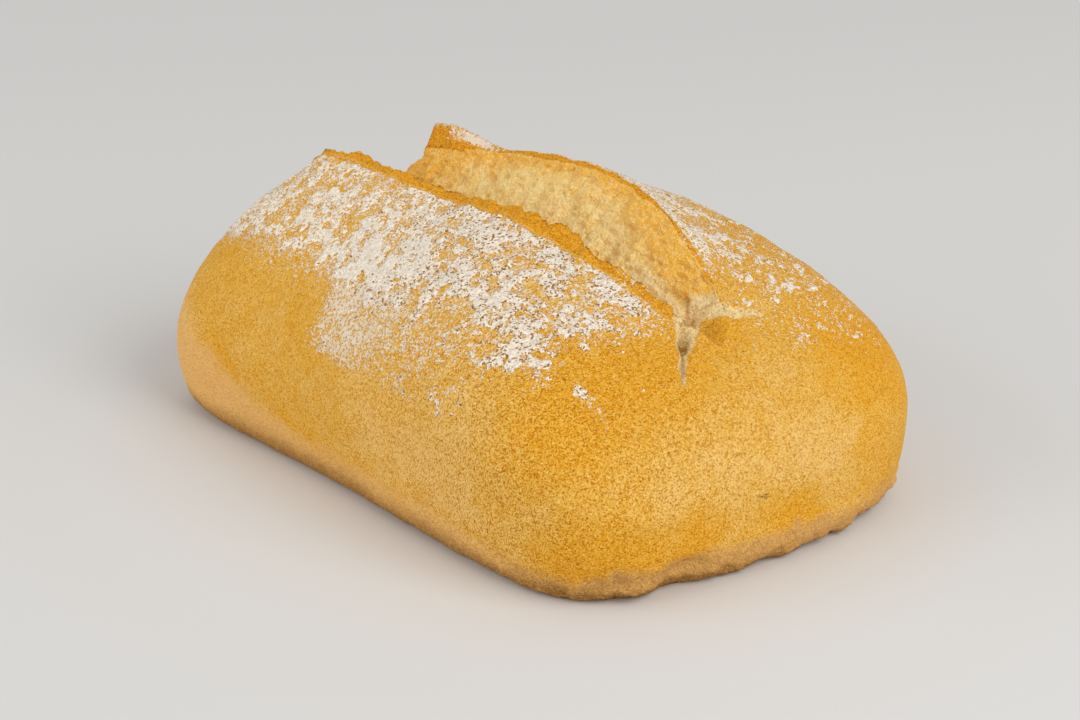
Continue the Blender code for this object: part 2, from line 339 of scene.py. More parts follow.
class Sections:
    """The roll's cross-sections at a column of stations t; heights count from the belt."""

    def __init__(self, form, t):
        self.form = form
        self.t = t[:, None]
        self.x = form.length / 2 * self.t
        self.near = self.side(NEAR_BACK, NEAR_FRONT)
        self.far = self.side(FAR_BACK, FAR_FRONT)
        self.room = np.minimum(self.near.outline, self.far.outline)
        self.set_lips()

    def side(self, back, front):
        """Outline, half-width, crown and section power of one long side of the roll."""
        t, form = self.t, self.form
        outline = arch(t, np.where(t < 0, back.outline, front.outline))
        crown = form.dome_height - form.belt_height
        crown = crown * arch(t, np.where(t < 0, back.crown, front.crown))
        power = back.section + (front.section - back.section) * ease(-0.6, 0.6, t)
        return Side(outline, form.width / 2 * outline, crown, power)

    def dome(self, y):
        """Height of the unscored dome at y: crown * (1 - |y / width|^p)^(1/p), with the near and
        the far crown blended over the ridge."""
        near = y < 0
        width = np.where(near, self.near.width, self.far.width)
        power = np.where(near, self.near.power, self.far.power)
        blend = ease(-RIDGE_NEAR, RIDGE_FAR, y / np.maximum(self.room, NARROWEST_RIDGE))
        crown = self.near.crown * (1 - blend) + self.far.crown * blend
        return crown * np.clip(1 - (np.abs(y) / width) ** power, 0, 1) ** (1 / power)

    def set_lips(self):
        """Where the score's two lips run, how far each is lifted over the dome, and how wide and
        high the torn edge of the low lip is. The lifts fade out where the score closes."""
        form, x = self.form, self.x
        share = np.clip((x - OPENING_BACK) / OPENING_LENGTH, 0, 1)
        opening = np.sqrt(np.clip(1 - np.abs(2 * share - 1) ** 2.6, 0, 1))
        opening = np.where(share < 0.5, np.maximum(opening, 0.6), opening)
        middle = -0.0035 + 0.0044 * self.t
        squeeze = np.minimum(1, 1.3 * self.room)
        low_waver = form.lip_waver * along(x, 3, (0.7, 0.0055), (0.5, 0.0019))
        raised_waver = form.lip_waver * along(x, 5, (0.8, 0.011), (0.3, 0.0026))
        self.low_y = (middle - form.low_lip_reach * opening - 0.001 + low_waver) * squeeze
        self.raised_y = (middle + form.raised_lip_reach * opening + 0.001 + raised_waver) * squeeze
        self.spread = self.raised_y - self.low_y

        rise = 0.0018 + 0.0036 * fall(-0.058, -0.015, x)
        rise = rise + form.lip_waver * along(x, 7, (0.5, 0.004), (0.35, 0.0016))
        rise = rise - 0.0012 * bell(x, -0.045, 0.009) - 0.0009 * bell(x, 0.017, 0.006)
        fade = fall(0.029, 0.058, x)
        self.low_rise = rise * fade * ease(-0.071, -0.053, x)
        forward = 0.58 + 0.42 * ease(0.0, 0.014, x) - 0.36 * ease(0.014, 0.030, x)
        torn = form.torn_rise * (1 + along(x, 9, (0.6, 0.0043), (0.35, 0.0016)))
        self.torn_rise = torn * forward * fade * ease(-0.071, -0.058, x)
        torn = form.torn_width * (1 + along(x, 14, (0.35, 0.0052), (0.3, 0.0018)))
        torn = torn * forward * (0.40 + 0.60 * ease(-0.062, -0.036, x))
        self.torn_width = np.clip(torn, 0, 0.8 * self.spread)

        rise = 0.0078 - 0.0041 * fall(-0.048, -0.010, x)
        rise = rise + form.horn_rise * fall(-0.0468, -0.0248, x)
        rise = rise + form.lip_waver * along(x, 11, (0.5, 0.006), (0.3, 0.002))
        self.raised_rise = (rise - 0.0011 * bell(x, -0.015, 0.009)) * fall(0.017, 0.058, x)

    def behind_horn(self, length):
        """0 behind the horn's end and 1 along the horn, climbing ever steeper over this length."""
        return np.clip((self.x - HORN_FULL + length) / length, 0, 1) ** 2.6

    def near_crust(self, share):
        """The dome from the near edge to the low lip, lifted by exp(distance / falloff)."""
        lip = np.minimum(self.low_y, -1e-9)
        y = -edge_to_lip(share, self.near.width, self.near.power, lip)
        lift = self.low_rise * np.exp((y - self.low_y) / 0.0071)
        return self.x, y, self.dome(y) + lift * ease(0, 0.5, share)

    def past_lips(self, y):
        """Distance in plan past the nearer lip, below 0 between the lips."""
        return np.maximum(self.low_y - y, y - self.raised_y)

    def score(self, share):
        """From lip to lip: a ledge as wide as the torn edge, then low + (raised - low) * s^curl
        less a dip of sin(pi * s^0.6)^1.3, s being the share of the way past that ledge; the curl
        is strongest under the horn. Where the score closes, this turns into the dome with each
        lip's lift on it, fading out as the cube of the way to the other lip."""
        x, form = self.x, self.form
        y = self.low_y + self.spread * share
        low = self.dome(self.low_y) + self.low_rise
        raised = self.dome(self.raised_y) + self.raised_rise * self.behind_horn(0.0018)
        at_horn = fall(HORN_END, HORN_END + 0.030, x) * ease(-0.0515, -0.0474, x)
        curl = 1.7 + (4.8 + 6.0 * bell(x, HORN_END, 0.0120)) * at_horn
        ledge = 0.8 * self.torn_width
        inner = np.clip((self.spread * share - ledge) / (self.spread - ledge), 0, 1)
        dip = form.score_depth * np.sin(np.pi * inner**0.6) ** 1.3 * np.minimum(1, 1.2 * self.room)
        dip = dip + 0.0034 * bell(x, -0.0525, 0.0065) * np.sin(np.pi * inner**0.8)
        opened = low + (raised - low) * inner**curl - dip
        whole = self.dome(y) + (low - self.dome(self.low_y)) * (1 - inner) ** 3
        whole = whole + (raised - self.dome(self.raised_y)) * inner**3
        closed = ease(*SCORE_FRONT, x) + fall(*SCORE_BACK, x)
        return x, y, opened + (whole - opened) * closed

    def torn_line(self, share):
        """The share of the way across the torn edge, above 1 past it."""
        return self.spread * share / np.maximum(self.torn_width, 1e-5)

    def torn_edge(self, share):
        """Height of the torn edge over the score: a quarter sine up across it, then a drop."""
        part = self.torn_line(share)
        climb = np.sin(np.pi / 2 * np.clip(part / 0.85, 0, 1))
        return self.torn_rise * climb * fall(0.85, 1.2, part)

    def far_crust(self, share):
        """The dome from the raised lip to the far edge, lifted by exp(-reach / falloff)."""
        lip = np.maximum(self.raised_y, 1e-9)
        y = edge_to_lip(1 - share, self.far.width, self.far.power, lip)
        reach = y - self.raised_y
        lift = self.raised_rise * np.exp(-reach / 0.0115)
        lift = lift * self.behind_horn(0.0018 + 1.9 * reach)
        return self.x, y, self.dome(y) + lift * ease(0, 0.4, 1 - share)

    def foot(self, share, direction):
        """The side below the belt: a quarter of a superellipse down to the flat foot."""
        form = self.form
        outline = self.near.outline if direction < 0 else self.far.outline
        inset = form.foot_inset * (1 - np.cos(share * np.pi / 2) ** (2 / FOOT_POWER))
        drop = -form.belt_height * np.sin(share * np.pi / 2) ** (2 / FOOT_POWER)
        y = direction * (form.width / 2 - inset) * outline
        return (form.length / 2 - inset) * self.t, y, drop

    def underside(self, share):
        """The flat foot, straight from its far edge to its near edge."""
        x, far_y, z = self.foot(np.ones(1), 1)
        near_y = self.foot(np.ones(1), -1)[1]
        return x, far_y + (near_y - far_y) * share, z

    def place(self, zone):
        """Points of a zone in the part's frame: moved with the ends' drift and onto the floor."""
        points = np.stack(np.broadcast_arrays(*zone), axis=-1).astype(float)
        drift = np.where(self.t < 0, END_DRIFT_BACK, END_DRIFT_FRONT) * self.t**2
        points[:, :, 1] += drift + FORM_SHIFT
        points[:, :, 2] += self.form.belt_height
        return points


def stations(count, last=1 - 2e-8):
    """Places along the roll from -1 to 1: even along its outline, closer at the horn and at the
    crack."""
    half_length, half_width, square = 0.075, 0.053, 4.3
    angle = np.linspace(-np.pi / 2, np.pi / 2, 20001)
    t = np.clip(np.sign(angle) * np.abs(np.sin(angle)) ** 0.55, -last, last)
    steps = np.hypot(np.diff(half_length * t), np.diff(half_width * arch(t, square)))
    middles = half_length * (t[1:] + t[:-1]) / 2
    steps = steps * (1 + 1.1 * bell(middles, HORN_END, 0.009) + 0.7 * bell(middles, 0.050, 0.013))
    run = np.concatenate([[0], np.cumsum(steps)])
    return np.interp(np.linspace(0, run[-1], count), run, t)


def normals(points, closed):
    """Unit normals of a grid of points, from the cross product of its two directions, turned to
    point up near its middle."""
    along_roll = np.gradient(points, axis=0)
    if closed:
        around = np.roll(points, -1, axis=1) - np.roll(points, 1, axis=1)
    else:
        around = np.gradient(points, axis=1)
    found = np.cross(along_roll, around)
    rows, columns = found.shape[:2]
    return unit(found * np.sign(found[rows // 2, columns // 4, 2]))


def path_distance(points, corners):
    """Distance in plan from a path of straight legs, and the share of the way along it."""
    corners = np.array(corners)
    legs = np.linalg.norm(np.diff(corners, axis=0), axis=1)
    passed = np.concatenate([[0], np.cumsum(legs)]) / legs.sum()
    nearest, way = np.inf, 0
    for start, end, before, after in zip(corners, corners[1:], passed, passed[1:]):
        reach = end - start
        share = np.clip(((points[..., :2] - start) @ reach) / (reach @ reach), 0, 1)
        away = np.linalg.norm(points[..., :2] - start - share[..., None] * reach, axis=-1)
        way = np.where(away < nearest, before + (after - before) * share, way)
        nearest = np.minimum(nearest, away)
    return nearest, way


def crack(points, margin=0.0):
    """Shares of the crack beyond the score, 1 on its middle line and 0 this margin past its edge,
    its width shrinking to the tip; of the way along it; and of the tear across its start."""
    on_top = points[..., 2] > 0.030
    waver = 0.0005 * rough(points, 0.003, 31)
    away, way = path_distance(points, CRACK)
    width = np.minimum(0.0049 * (1 - way) ** 1.8, 0.0032) + 0.0003 + margin
    middle = np.clip(1 - (away + waver) / width, 0, 1) * on_top
    away, share = path_distance(points, CROSS_TEAR)
    width = 0.0022 - 0.0012 * share + margin
    tear = np.clip(1 - (away + 1.4 * waver) / width, 0, 1) * on_top
    return middle, way, tear


def score_end(y):
    """How far along the roll the crumb shows at each y: further towards the raised lip, with a
    notch where the tear across meets it."""
    end = 0.0461 + 0.325 * y - 0.0035 * bell(y, 0.0048, 0.0022)
    return end + along(y, 18, (0.0008, 0.002))


def window(sections, share):
    """1 where the crumb shows in the score and 0 under the crust round it: from the torn edge of
    the low lip to the brow of the raised lip, and from a rounded back end to the score's end."""
    x = sections.x
    reach = sections.spread * share
    edge = sections.torn_width + 0.003 * ease(0.033, 0.043, x)
    start = ease(0.8, 1.15, reach / np.maximum(edge, 1e-5))
    brow = 0.0005 + 0.0016 * bell(x, -0.040, 0.010) + along(x, 16, (0.0003, 0.004), (0.0002, 0.0015))
    stop = ease(brow, brow + 0.0009, sections.spread - reach)
    y = sections.low_y + reach
    end = score_end(y)
    tip = -0.0708 + 0.0045 * (2 * share - 1) ** 2 + along(1.7 * y, 19, (0.0006, 0.002))
    return start * stop * fall(end - 0.0014, end, x) * ease(tip - 0.0004, tip + 0.0012, x)


# ---------------------------------------------------------------- meshes


def put_mesh(name, points, faces, corner_uv, marks, finish):
    """A piece from its points and faces, with its bake map, its named marks and its finish. It
    rides on the roll's body."""
    if not np.isfinite(points).all():
        raise ValueError(f"the sizes set give points of {name} that aren't numbers")
    mesh = bpy.data.meshes.new(name)
    mesh.from_pydata(points, [], faces)
    layer = mesh.uv_layers.new(name="OFBake")
    layer.data.foreach_set("uv", corner_uv.astype(np.float32).ravel())
    for mark, values in marks.items():
        attribute = mesh.attributes.new(mark, "FLOAT", "POINT")
        attribute.data.foreach_set("value", values.astype(np.float32).ravel())
    mesh.validate()
    mesh.shade_smooth()
    mesh.materials.append(finish)
    piece = bpy.data.objects.new(name, mesh)
    bpy.context.scene.collection.objects.link(piece)
    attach(piece, "root")
    return piece


def close_rings(rings, top=None):
    """Points, faces and bake map of closed rings skinned from end to end. With a top, a strip over
    each end pairs the ring's points on either side of the gap after it; without, one face closes
    each end."""
    rows, columns = rings.shape[:2]
    row, column = np.meshgrid(np.arange(rows - 1), np.arange(columns), indexing="ij")
    row, column = row.ravel(), column.ravel()
    rows_of = np.stack([row, row, row + 1, row + 1], axis=-1)
    columns_of = np.stack([column, column + 1, column + 1, column], axis=-1)
    faces = rows_of * columns + columns_of % columns
    maps = np.stack([rows_of, columns_of], axis=-1).astype(float)
    last = (rows - 1) * columns
    if top is None:
        ends = np.stack([np.arange(columns)[::-1], last + np.arange(columns)])
        end_maps = np.stack([np.full((2, columns), -2.0), ends % columns], axis=-1)
        end_maps[1, :, 0] = rows + 1.0
    else:
        pair = np.arange(columns // 2 - 1)
        strip = np.stack([top - pair, top - pair - 1, top + pair + 2, top + pair + 1], axis=-1)
        strip = strip % columns
        ends = np.concatenate([strip, last + strip[:, ::-1]])
        across = np.tile([-3.0, -3.0, -1.0, -1.0], (len(pair), 1))
        down = np.stack([pair, pair + 1, pair + 1, pair], axis=-1) * 2.0
        first_map = np.stack([across, down], axis=-1)
        last_map = np.stack([across + rows + 3.0, down], axis=-1)
        end_maps = np.concatenate([first_map, last_map[:, ::-1]])
    points = rings.reshape(-1, 3)
    if enclosed(points, faces) < 0:
        faces, maps = faces[:, ::-1], maps[:, ::-1]
        ends, end_maps = ends[:, ::-1], end_maps[:, ::-1]
    maps = np.concatenate([maps.reshape(-1, 2), end_maps.reshape(-1, 2)])
    corner_uv = (maps + (END_ROOM, 0.5)) / (rows + 2 * END_ROOM, columns + 1)
    return points, faces.tolist() + ends.tolist(), corner_uv


def enclosed(points, faces):
    """Six times the volume inside quads that wind round it: above 0 if they face outwards."""
    a, b, c, d = (points[faces[:, i]] for i in range(4))
    return (np.cross(a, b) * c).sum() + (np.cross(a, c) * d).sum()


def slab(sheet, drop, columns):
    """Rings of a sheet made into a closed slab, its floor this far from it in this many columns."""
    picked = np.linspace(sheet.shape[1] - 1, 0, columns).astype(int)
    return np.concatenate([sheet, (sheet - drop)[:, picked]], axis=1)


# ---------------------------------------------------------------- shader expressions


class Socket:
    """An output of a node. Arithmetic on it adds Math nodes, and numbers may stand on either
    side."""

    def __init__(self, finish, output):
        self.finish = finish
        self.output = output

    def math(self, operation, *values, clamp=False):
        settings = {"operation": operation, "use_clamp": clamp}
        return self.finish.node("ShaderNodeMath", settings, dict(enumerate(values)))

    def __add__(self, other):
        return self.math("ADD", self, other)

    __radd__ = __add__

    def __sub__(self, other):
        return self.math("SUBTRACT", self, other)

    def __rsub__(self, other):
        return self.math("SUBTRACT", other, self)

    def __mul__(self, other):
        return self.math("MULTIPLY", self, other)

    __rmul__ = __mul__

    def clamp(self):
        return self.math("ADD", self, 0.0, clamp=True)

    def larger(self, other):
        return self.math("MAXIMUM", self, other)

    def between(self, low, high):
        """0 at low and 1 at high, eased."""
        settings = {"interpolation_type": "SMOOTHSTEP"}
        values = {"Value": self, "From Min": low, "From Max": high}
        return self.finish.node("ShaderNodeMapRange", settings, values)


class Finish:
    """A material being built, node by node."""

    def __init__(self, name):
        self.material = bpy.data.materials.new(name)
        self.material.use_nodes = True
        self.tree = self.material.node_tree
        self.surface = self.tree.nodes["Principled BSDF"]
        self.place = self.node("ShaderNodeTexCoord", {}, {}, "Object")

    def node(self, kind, settings, values, output=0):
        """A node of this type: its settings first, then its sockets' values or links."""
        made = self.tree.nodes.new(kind)
        for setting, value in settings.items():
            setattr(made, setting, value)
        for socket, value in values.items():
            self.feed(made.inputs[socket], value)
        return Socket(self, made.outputs[output])

    def feed(self, entry, value):
        if isinstance(value, Socket):
            self.tree.links.new(value.output, entry)
        elif hasattr(value, "__len__") and len(value) == 3 and entry.type == "RGBA":
            entry.default_value = (*value, 1.0)
        else:
            entry.default_value = value

    def mark(self, name):
        """A named mark of the piece's own mesh."""
        settings = {"attribute_type": "GEOMETRY", "attribute_name": name}
        return self.node("ShaderNodeAttribute", settings, {}, "Fac")

    def grain(self, size, detail=2.0, roughness=0.5, seed=0.0):
        """Noise from 0 to 1 with features of this size, in metres."""
        values = {"Vector": self.place, "W": seed, "Scale": 1.0 / size}
        values.update({"Detail": detail, "Roughness": roughness})
        return self.node("ShaderNodeTexNoise", {"noise_dimensions": "4D"}, values, "Fac")

    def cells(self, size, output="Distance"):
        """Distance to the nearest of scattered points about this far apart, as a share of it, or
        with "Color" a random number for each point's own cell."""
        values = {"Vector": self.place, "Scale": 1.0 / size}
        return self.node("ShaderNodeTexVoronoi", {}, values, output)

    def speckle(self, colour, size, dark, light, amount):
        """Colour with its cells of this size mixed at random towards a dark or a light one."""
        cell = self.cells(size, "Color")
        colour = self.mix((0.5 - cell).larger(0.0) * (2.4 * amount), colour, dark)
        return self.mix((cell - 0.5).larger(0.0) * (2.4 * amount), colour, light)

    def mix(self, share, first, second, blend="MIX"):
        """Colour mixed from first at share 0 to second at share 1."""
        settings = {"data_type": "RGBA", "blend_type": blend, "clamp_factor": True}
        return self.node("ShaderNodeMix", settings, {0: share, 6: first, 7: second}, 2)

    def tint(self, colour, amount):
        """Colour times a brightness, through a Vector Math node."""
        settings = {"operation": "SCALE"}
        return self.node("ShaderNodeVectorMath", settings, {0: colour, "Scale": amount})

    def bump(self, height, distance):
        """Normal from a height map, its white this far above its black."""
        values = {"Height": height, "Distance": distance, "Strength": 1.0}
        return self.node("ShaderNodeBump", {}, values)

    def set(self, **values):
        """Feeds the surface's sockets, named as specular_ior_level for Specular IOR Level."""
        for name, value in values.items():
            name = name.replace("_", " ").title().replace("Ior", "IOR")
            self.feed(self.surface.inputs[name], value)
        return self.material


def floury_crumb(crumb, flour):
    """Colour of crumb with flour rubbed into it: 0.65 of the crumb's and 0.35 of the flour's."""
    return [0.65 * c + 0.35 * w for c, w in zip(crumb.cream, flour.white)]


def crust_finish(crust, crumb, flour):
    """Golden crust, deeper and paler in patches and finely speckled, with a floury rim that painted
    shade darkens towards the floor; then the torn edges, the open crack with painted shade deep in
    it, specks and the thinnest flour."""
    f = Finish("baked_crust")
    browning, torn, rim, shade = (f.mark(name) for name in ("browning", "torn", "rim", "shade"))
    grainy, opened, deep, dusted = (f.mark(name) for name in ("grainy", "opened", "deep", "dusted"))
    wide = f.grain(0.019, 3.0, 0.55) - 0.5
    patchy = f.grain(0.0052, 3.0, 0.6, seed=3.0) - 0.5
    coarse = f.grain(0.0011, 2.0, 0.6, seed=4.0) - 0.5
    fine = f.grain(0.0005, 1.0, 0.6, seed=5.0).between(0.3, 0.7)
    speck = f.cells(0.00025, "Color") - 0.5
    blotch = f.cells(0.00050, "Color") - 0.5

    rim_share = (rim + patchy * 1.5 + coarse * 0.8).between(-0.35, 0.55)
    grains = (speck + blotch * 0.35) * grainy * (1.0 - rim_share * 0.25)
    bake = browning + wide * 0.9 + patchy - grains * 0.9
    colour = f.mix((bake * 2.0).clamp(), crust.pale, crust.golden)
    colour = f.mix((bake * 2.0 - 1.0).clamp(), colour, crust.browned)
    colour = f.mix(rim_share * 0.9, colour, crust.rim)
    # Painted shade: the rim darkens towards the floor, more on the front end and most at its near
    # corner
    colour = f.mix(rim_share * (shade + patchy * 0.5), colour, crust.foot)

    torn_share = (torn + patchy * 0.7 * torn.between(0.02, 0.3)).between(0.25, 0.6)
    torn_colour = f.mix((patchy * 2.4 + 0.3).clamp(), crust.torn, crust.browned)
    scorched = (fine * (coarse + 0.5) * 2.0 - 0.5).clamp()
    colour = f.mix(torn_share, colour, f.mix(scorched, torn_colour, SCORCHED))

    open_colour = floury_crumb(crumb, flour)
    # Painted shade in noisy patches on the crack's floury crumb
    open_colour = f.mix((coarse * 2.0 + 0.05 - speck).clamp(), open_colour, crumb.shade)
    open_share = opened + (patchy + coarse) * 0.9 * opened.between(0.0, 0.2)
    colour = f.mix(open_share.between(0.2, 0.7) * 0.92, colour, open_colour)
    # Painted shade deep in the crack, where its groove is deepest
    colour = f.mix((deep * (coarse + 1.0)).clamp(), colour, crust.crack_shade_colour)

    colour = f.mix((grains * -1.9).clamp(), colour, DARK_GRAIN, "MULTIPLY")
    colour = f.mix((grains * 0.9).clamp(), colour, LIGHT_GRAIN)
    charred = 1.0 - f.cells(0.0034).between(0.038, 0.070)
    charred = charred * f.grain(0.011, 1.0, seed=12.0).between(0.50, 0.62)
    colour = f.mix(charred * 0.75, colour, CHARRED)

    dots = f.cells(0.00040, "Color") - 0.5
    film = dusted * 0.4 + 0.06 + patchy * 0.9 + coarse * 1.1 + dots * 1.3
    film = film.between(0.46, 0.56) * dusted.between(-0.45, 0.0) * 0.9
    colour = f.mix(film, colour, flour.white)
    normal = f.bump((fine + coarse) * 0.6 + film * 0.25, 0.00022)
    roughness = 0.58 + film * 0.3 + fine * 0.12
    return f.set(base_color=colour, roughness=roughness, normal=normal, specular_ior_level=DULL)


def crumb_finish(crumb, flour):
    """Cream crumb, dull and toasted in patches and towards the lips, with painted shade inside its
    pores and its cleft and small holes painted as dark spots, and floury towards the crack."""
    f = Finish("open_crumb")
    toast, pore, floury = (f.mark(name) for name in ("toast", "pore", "floury"))
    patchy = f.grain(0.0042, 3.0, 0.6, seed=1.0) - 0.5
    coarse = f.grain(0.0012, 2.0, 0.6, seed=3.0) - 0.5
    fine = f.grain(0.0006, 1.0, 0.6, seed=2.0).between(0.3, 0.7)
    dull = (f.grain(0.0070, 3.0, 0.6, seed=8.0) + coarse * 0.5).between(0.50, 0.64)
    colour = f.mix(dull * 0.5, crumb.cream, crumb.ashen)
    flecks = (f.grain(0.0030, 3.0, 0.65, seed=9.0) + coarse * 0.3).between(0.55, 0.66)
    colour = f.mix(flecks * 0.65, colour, crumb.toasted)
    toast = (toast + patchy * 1.4 + coarse * 0.7 - 0.06).clamp()
    colour = f.mix(toast, colour, crumb.toasted)
    powder = (floury + (fine - 0.5) * 0.8 + coarse * 1.2) * floury.between(0.0, 0.3)
    colour = f.mix(powder.between(0.15, 0.50) * 0.9, colour, floury_crumb(crumb, flour))
    # Painted shade inside the pores and the cleft
    colour = f.mix((pore * (patchy * 0.7 + 0.5)).clamp(), colour, crumb.shade)
    # Painted shade: small holes drawn as dark spots, with a slight dip in the bump
    shaded_holes = 1.0 - f.cells(0.0040).between(0.05, 0.13)
    shaded_holes = shaded_holes * f.grain(0.007, 1.0, seed=13.0).between(0.47, 0.58)
    colour = f.mix(shaded_holes * 0.7, colour, HOLE_SHADE)
    colour = f.speckle(colour, 0.00030, crumb.shade, LIGHT_CRUMB, 0.50)
    colour = f.speckle(colour, 0.0007, crumb.shade, LIGHT_CRUMB, 0.20)
    normal = f.bump((fine + patchy) * 0.4 + coarse * 0.7 - shaded_holes * 0.8, 0.00045)
    return f.set(base_color=colour, roughness=0.9, normal=normal, specular_ior_level=DULL)


def flour_finish(flour, crust):
    """Matt white flour with a powdery grain; where it lies thin the crust shows through under
    painted shade in the gaps between clumps, darkest in the middle of the near side."""
    f = Finish("dusted_flour")
    coarse = f.grain(0.0010, 2.0, 0.6, seed=6.0) - 0.5
    soft = f.grain(0.004, 2.0, 0.5, seed=7.0) - 0.5
    cell = f.cells(0.00042, "Color")
    speck = f.cells(0.00030, "Color")
    share = (f.mark("thick") + (cell - 0.5) * 1.7 + coarse * 1.3).between(0.0, 0.2)
    amount = 0.99 + (coarse + soft) * 0.3 + (speck - 0.5) * 0.6
    x, y = (f.node("ShaderNodeSeparateXYZ", {}, {"Vector": f.place}, axis) for axis in "XY")
    near_middle = x.between(-0.036, 0.012) * (1.0 - y.between(0.0, 0.008))
    # Painted shade in the gaps between the flour's clumps, deepest in the middle of the near side
    dark = (0.80 - cell - speck + near_middle * 0.40) * 2.0
    thin = f.mix(dark.clamp(), crust.golden, GAP_SHADE)
    colour = f.mix(share, thin, f.tint(flour.white, amount))
    return f.set(base_color=colour, roughness=0.95, normal=f.bump(cell * 0.5 + coarse, 0.0002))


# ---------------------------------------------------------------- pieces


CRUST_SWELLS = (  # centre x, y, z, radius and height, in metres: broad swells and hollows
    (0.060, 0.044, 0.028, 0.016, 0.0016),
    (0.027, 0.030, 0.052, 0.014, -0.0011),
)
RIM_SWELLS = (  # centre x, y, radius and height, in metres: where the rim stands out or falls back
    (0.073, 0.006, 0.017, 0.0017),
    (0.070, 0.034, 0.012, 0.0004),
    (0.0725, -0.0245, 0.0055, -0.0024),
    (0.069, -0.040, 0.007, -0.0012),
)


def relief(points, crust):
    """Height of the crust's own relief over the plain form: wide swellings, small wrinkles on top
    and lumps and pits round the foot, less the groove of the crack."""
    x, y, z = np.moveaxis(points, -1, 0)
    lumps = crust.lumps * waves(points, 21, (0.75, 0.026), (0.45, 0.012))
    lumps = lumps + spots(points, CRUST_SWELLS)
    wrinkles = crust.wrinkles * rough(points, 0.0046, 23, 3) * (0.35 + 0.65 * ease(0.012, 0.034, z))
    front = ease(0.015, 0.062, x + 0.25 * y)
    rim = crust.rim_roughness * (0.3 + 0.7 * front) * rough(points, 0.0038, 25, 4, 0.8)
    around = np.stack([1.2 * x + y, 1.5 * z], axis=-1)
    rim = rim - 0.0013 * front * np.maximum(pits(around, 0.0062, 27) - 0.25, 0)
    rim = (rim + spots(points[..., :2], RIM_SWELLS)) * fall(0.0050, 0.0105, z)
    return (lumps + wrinkles) * ease(0.0002, 0.004, z) + rim - groove(points, crust)


def groove(points, crust):
    """Depth of the crack and of the tear across its start: the crack's is its share times
    (1 - way)^0.8, eased in from the score."""
    middle, way, tear = crack(points)
    return crust.crack_depth * middle * ease(0.05, 0.32, way) * (1 - way) ** 0.8 + 0.0005 * tear


DUSTED_SPOTS = (  # centre x, y, x and y radius, in metres, and amount: floury above 0, bare below
    (-0.017, -0.033, 0.012, 0.009, 0.30),
    (0.009, 0.0225, 0.009, 0.004, 0.45),
    (0.0475, 0.0165, 0.0025, 0.0025, -0.45),
    (0.037, -0.0115, 0.007, 0.004, 0.45),
    (-0.055, -0.024, 0.012, 0.010, 0.10),
    (-0.034, -0.018, 0.009, 0.007, -0.22),
    (0.018, -0.040, 0.011, 0.0060, -0.50),
    (0.042, -0.029, 0.008, 0.0060, -0.35),
    (0.038, -0.016, 0.004, 0.0040, -0.25),
    (0.046, -0.040, 0.0035, 0.0040, 0.50),
    (0.054, -0.0338, 0.0045, 0.0018, 0.95),
    (0.000, -0.050, 0.022, 0.006, 0.25),
    (0.041, 0.016, 0.003, 0.003, 0.55),
    (0.0505, 0.0135, 0.003, 0.002, 0.70),
    (0.046, -0.046, 0.005, 0.0035, 0.35),
)


def dusting(points, past):
    """Share of the crust that flour hides, from about 1 down to below 0 where none fell; past is
    the distance past the nearer lip. Noise makes the near side's edge of it stray."""
    x, y, z = np.moveaxis(points, -1, 0)
    strayed = x + waves(points, 44, (0.007, 0.008))
    reach = 0.0440 + 0.0085 * ease(-0.036, -0.006, strayed) - 0.010 * ease(0.026, 0.042, x)
    reach = reach + waves(points, 41, (0.003, 0.010))
    near = 0.58 + 0.04 * ease(-0.020, -0.006, x) - 1.15 * ease(0.78, 1.08, -y / reach)
    near = near - ease(0.041, 0.055, x - 0.105 * y)
    far = 0.12 + 0.62 * fall(0.0012, 0.0028, past) * fall(0.038, 0.044, x)
    far = far + 0.42 * fall(0.024, 0.040, x) * fall(0.012, 0.024, past)
    far = far - 0.40 * ease(0.036, 0.050, y) - 0.6 * ease(0.056, 0.066, x)
    far = far - 0.30 * ease(0.036, 0.042, x) * fall(0.012, 0.018, y)
    amount = np.where(y < 0, near, far)
    for x_middle, y_middle, x_radius, y_radius, change in DUSTED_SPOTS:
        amount = amount + change * bell(x, x_middle, x_radius) * bell(y, y_middle, y_radius)
    return amount - 1.2 * fall(-0.0745, -0.066, x) - 1.6 * fall(0.024, 0.032, z)


BROWNED_SPOTS = (  # centre x, y, z, radius and amount, in metres: deeper above 0, paler below
    (0.050, -0.029, 0.042, 0.012, 0.70),
    (0.057, -0.042, 0.033, 0.010, 0.60),
    (0.059, -0.023, 0.038, 0.009, 0.40),
    (0.045, -0.048, 0.032, 0.008, 0.15),
    (0.061, 0.034, 0.034, 0.012, 0.85),
    (0.0535, 0.0045, 0.0425, 0.005, 0.60),
    (0.058, -0.010, 0.040, 0.008, 0.30),
    (0.071, -0.038, 0.012, 0.009, 1.00),
    (0.064, -0.047, 0.010, 0.007, 0.70),
    (0.0748, -0.022, 0.011, 0.008, 0.75),
    (0.075, 0.004, 0.011, 0.006, 0.80),
    (0.075, 0.008, 0.019, 0.012, -0.40),
    (0.0738, -0.016, 0.0215, 0.010, -0.35),
    (0.062, -0.044, 0.020, 0.010, -0.15),
    (0.0715, -0.033, 0.0185, 0.009, -0.35),
    (0.034, -0.053, 0.024, 0.016, -0.28),
    (0.034, 0.036, 0.047, 0.014, 0.30),
    (0.027, -0.052, 0.012, 0.012, -0.30),
    (0.010, -0.052, 0.021, 0.012, -0.20),
    (-0.057, -0.049, 0.032, 0.012, 0.25),
    (-0.0505, -0.053, 0.0185, 0.006, 0.50),
    (-0.066, -0.050, 0.017, 0.012, -0.45),
)


